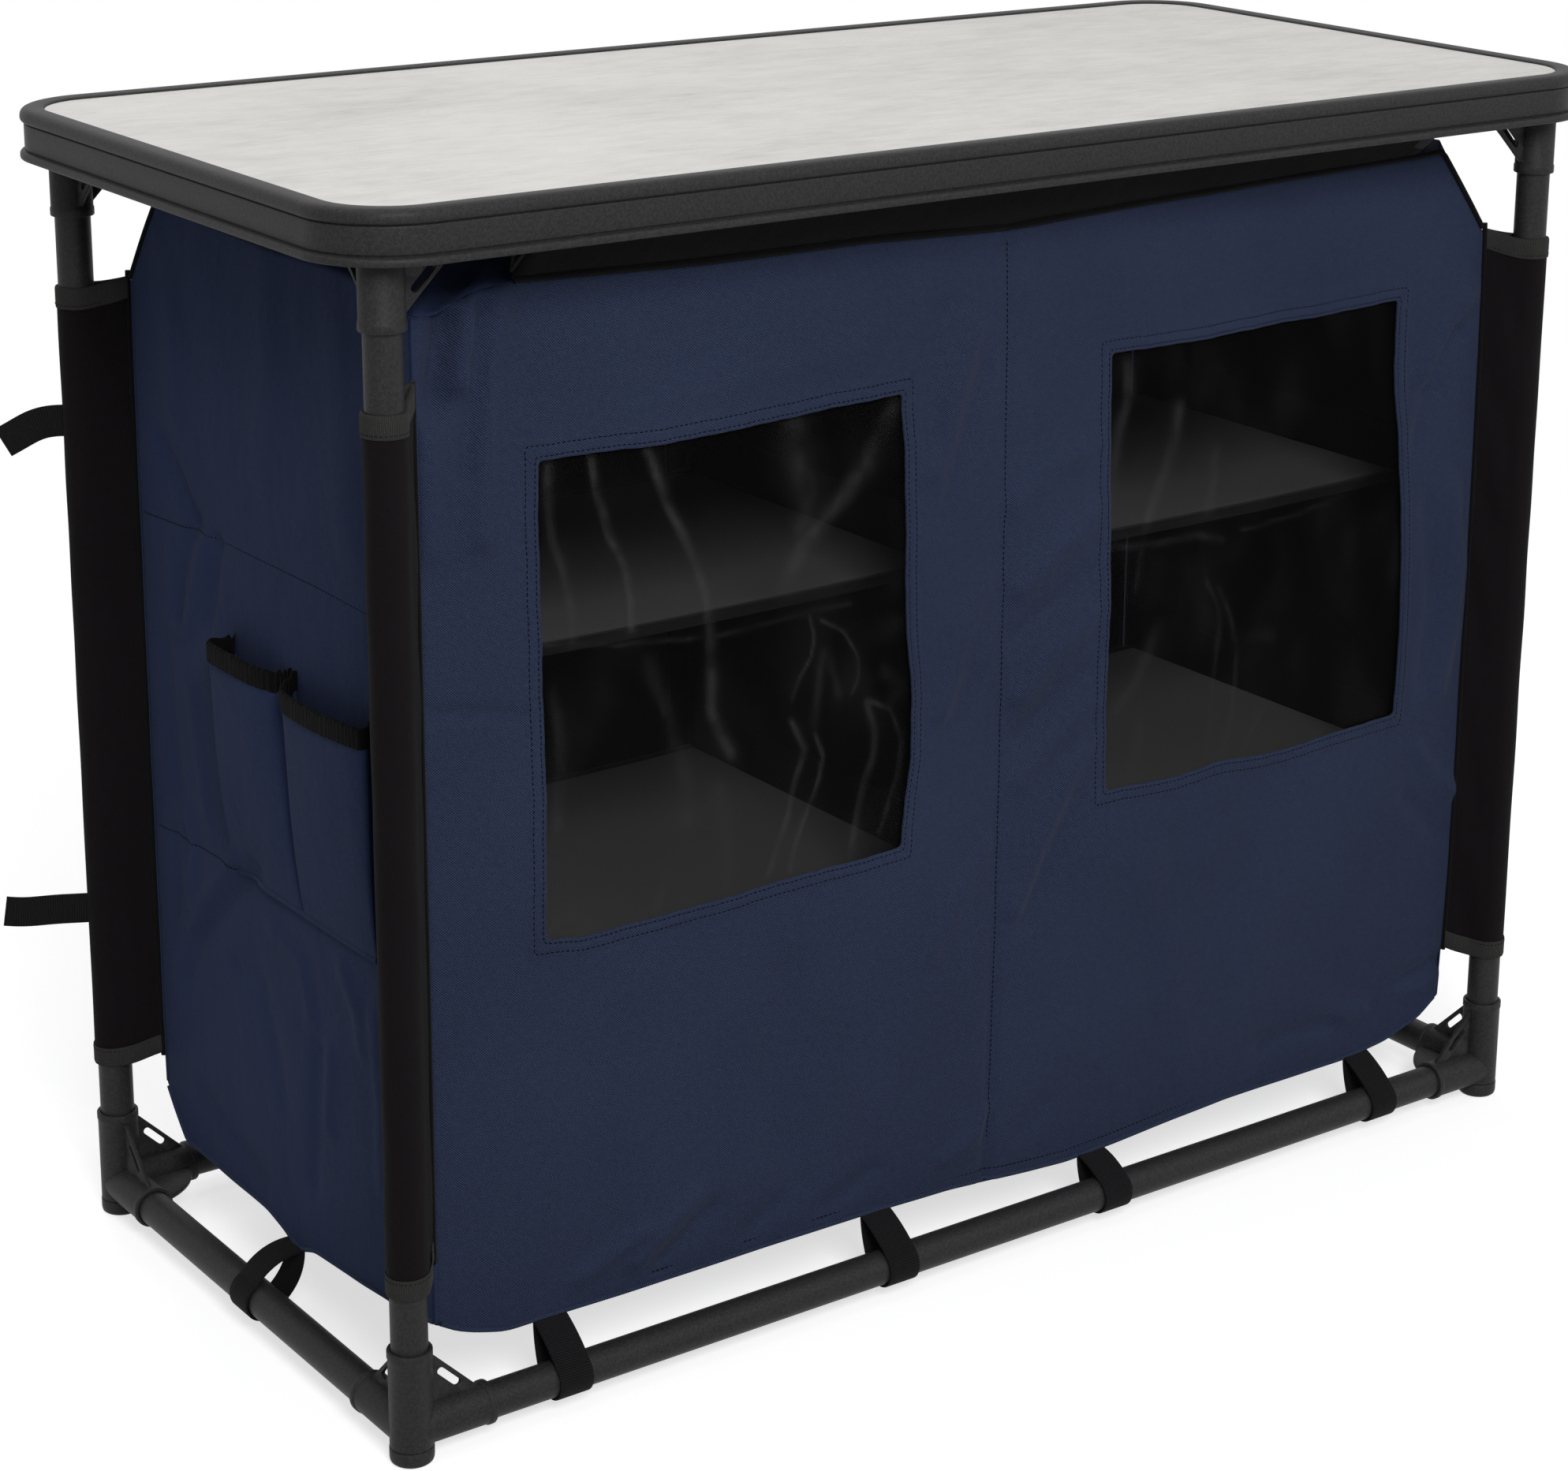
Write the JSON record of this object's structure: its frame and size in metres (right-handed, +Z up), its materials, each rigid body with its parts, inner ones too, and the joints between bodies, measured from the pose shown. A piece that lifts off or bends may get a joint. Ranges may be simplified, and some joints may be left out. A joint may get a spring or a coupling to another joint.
{
  "type": "camp kitchen cupboard",
  "caption": "Free-standing camp kitchen cupboard: stone-look worktop on a plug-together tube frame, fabric cabinet with windows, shelves, zip doors at the rear and side pockets.",
  "frame": {"origin": "on the ground under the centre of the cupboard", "axes": "+Z up, +X along the long side, -Y toward the windowed face"},
  "size_m": [1.0742, 0.4916, 0.8021],
  "materials": {
    "charcoal_coat": "matte powder coat, fine texture",
    "charcoal_moulding": "fine textured moulding",
    "charcoal_rim": "fine textured extrusion",
    "stone_laminate": "stone-look laminate on fibreboard",
    "navy_twill": "coated twill",
    "grey_lining": "stiffened lining",
    "black_fabric": "coated twill",
    "black_webbing": "woven webbing",
    "clear_film": "clear film, dark behind",
    "zip_metal": "plated zip slider"
  },
  "bodies": {
    "frame": {"worktop_board": "stone_laminate", "worktop_rim": "charcoal_rim", "leg_front_left": "charcoal_coat", "leg_front_right": "charcoal_coat", "leg_rear_left": "charcoal_coat", "leg_rear_right": "charcoal_coat", "lower_corner_front_left": "charcoal_moulding", "lower_corner_front_right": "charcoal_moulding", "lower_corner_rear_left": "charcoal_moulding", "lower_corner_rear_right": "charcoal_moulding", "upper_corner_front_left": "charcoal_moulding", "upper_corner_front_right": "charcoal_moulding", "upper_corner_rear_left": "charcoal_moulding", "upper_corner_rear_right": "charcoal_moulding", "foot_cap_front_left": "charcoal_moulding", "foot_cap_front_right": "charcoal_moulding", "foot_cap_rear_left": "charcoal_moulding", "foot_cap_rear_right": "charcoal_moulding", "lower_rail_front": "charcoal_coat", "lower_rail_rear": "charcoal_coat", "lower_rail_left": "charcoal_coat", "lower_rail_right": "charcoal_coat", "upper_rail_front": "charcoal_coat", "upper_rail_rear": "charcoal_coat", "upper_rail_left": "charcoal_coat", "upper_rail_right": "charcoal_coat", "window_panel": "navy_twill", "window_film_left": "clear_film", "window_film_right": "clear_film", "side_panel_left": "navy_twill", "side_panel_right": "navy_twill", "top_panel": "navy_twill", "floor_panel": "navy_twill", "divider_panel": "grey_lining", "shelf_upper_left": "grey_lining", "shelf_upper_right": "grey_lining", "shelf_lower_left": "grey_lining", "shelf_lower_right": "grey_lining", "leg_sleeve_front_left": "black_fabric", "leg_sleeve_front_right": "black_fabric", "leg_sleeve_rear_left": "black_fabric", "leg_sleeve_rear_right": "black_fabric", "top_flap_front": "black_fabric", "top_flap_rear": "black_fabric", "side_pockets": "navy_twill", "rail_loop_front_1": "black_webbing", "rail_loop_front_2": "black_webbing", "rail_loop_front_3": "black_webbing", "rail_loop_front_4": "black_webbing", "rail_loop_rear_1": "black_webbing", "rail_loop_rear_2": "black_webbing", "rail_loop_rear_3": "black_webbing", "rail_loop_rear_4": "black_webbing", "rail_loop_left": "black_webbing", "rail_loop_right": "black_webbing", "centre_post_strip": "navy_twill"},
    "door_left": {"door_left": "navy_twill"},
    "door_right": {"door_right": "navy_twill"},
    "zip_left": {"zip_slider_left": "zip_metal"},
    "zip_right": {"zip_slider_right": "zip_metal"}
  },
  "joints": [
    {"name": "door_left_hinge", "type": "hinge", "parent": "frame", "child": "door_left", "pos_m": [-0.442, 0.19, 0], "axis": [0, 0, 1], "range_deg": [0, 110]},
    {"name": "door_right_hinge", "type": "hinge", "parent": "frame", "child": "door_right", "pos_m": [0.442, 0.19, 0], "axis": [0, 0, -1], "range_deg": [0, 110]},
    {"name": "zip_left_slide", "type": "slide", "parent": "door_left", "child": "zip_left", "axis": [0, 0, 1], "range_m": [0, 0.6]},
    {"name": "zip_right_slide", "type": "slide", "parent": "door_right", "child": "zip_right", "axis": [0, 0, 1], "range_m": [0, 0.6]}
  ]
}
